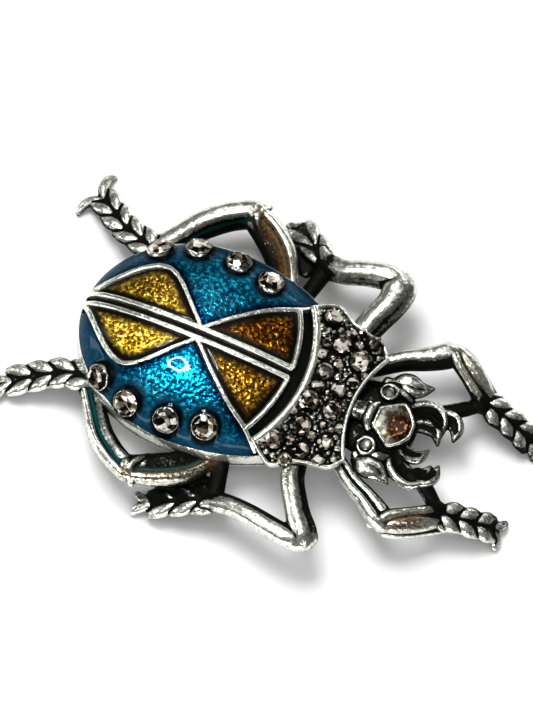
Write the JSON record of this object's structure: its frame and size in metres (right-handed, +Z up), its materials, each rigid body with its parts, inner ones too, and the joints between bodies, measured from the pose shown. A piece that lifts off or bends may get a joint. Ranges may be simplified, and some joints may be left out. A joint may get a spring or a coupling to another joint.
{
  "type": "beetle brooch",
  "caption": "Enamelled beetle brooch: domed wing case, stone-set collar, horned head, linked legs with barbed feet, and a pin behind.",
  "frame": {"origin": "centre of the bounding box in plan, at the level of the claw tips that it stands on", "axes": "+X towards the head, along the beetle's length; +Y towards the beetle's left side; +Z up through the back of the wing case, away from the pin"},
  "size_m": [0.0537, 0.0348, 0.0087],
  "materials": {
    "silver": "antique silver plate, bright on the high parts and dark in the hollows",
    "blue_enamel": "glossy translucent enamel over a hammered ground",
    "amber_enamel": "glossy translucent enamel with gold glitter",
    "head_enamel": "glossy brown enamel with copper glitter in front, clear grey behind",
    "eye_enamel": "glossy clear enamel over silver",
    "smoky_stone": "cut and foiled smoky rhinestone",
    "collar_stone": "cut and foiled smoky rhinestone",
    "pin_steel": "plain nickel plate"
  },
  "bodies": {
    "root": {"casting": "silver", "enamel_blue_left": "blue_enamel", "enamel_blue_right": "blue_enamel", "enamel_rear_left": "amber_enamel", "enamel_rear_right": "amber_enamel", "enamel_front_left": "amber_enamel", "enamel_front_right": "amber_enamel", "enamel_head": "head_enamel", "enamel_eye_left": "eye_enamel", "enamel_eye_right": "eye_enamel", "pave_stones": "collar_stone", "pin_back": "pin_steel", "stone_left_1": "smoky_stone", "stone_left_2": "smoky_stone", "stone_left_3": "smoky_stone", "stone_left_4": "smoky_stone", "stone_right_1": "smoky_stone", "stone_right_2": "smoky_stone", "stone_right_3": "smoky_stone", "stone_right_4": "smoky_stone"}
  },
  "joints": []
}
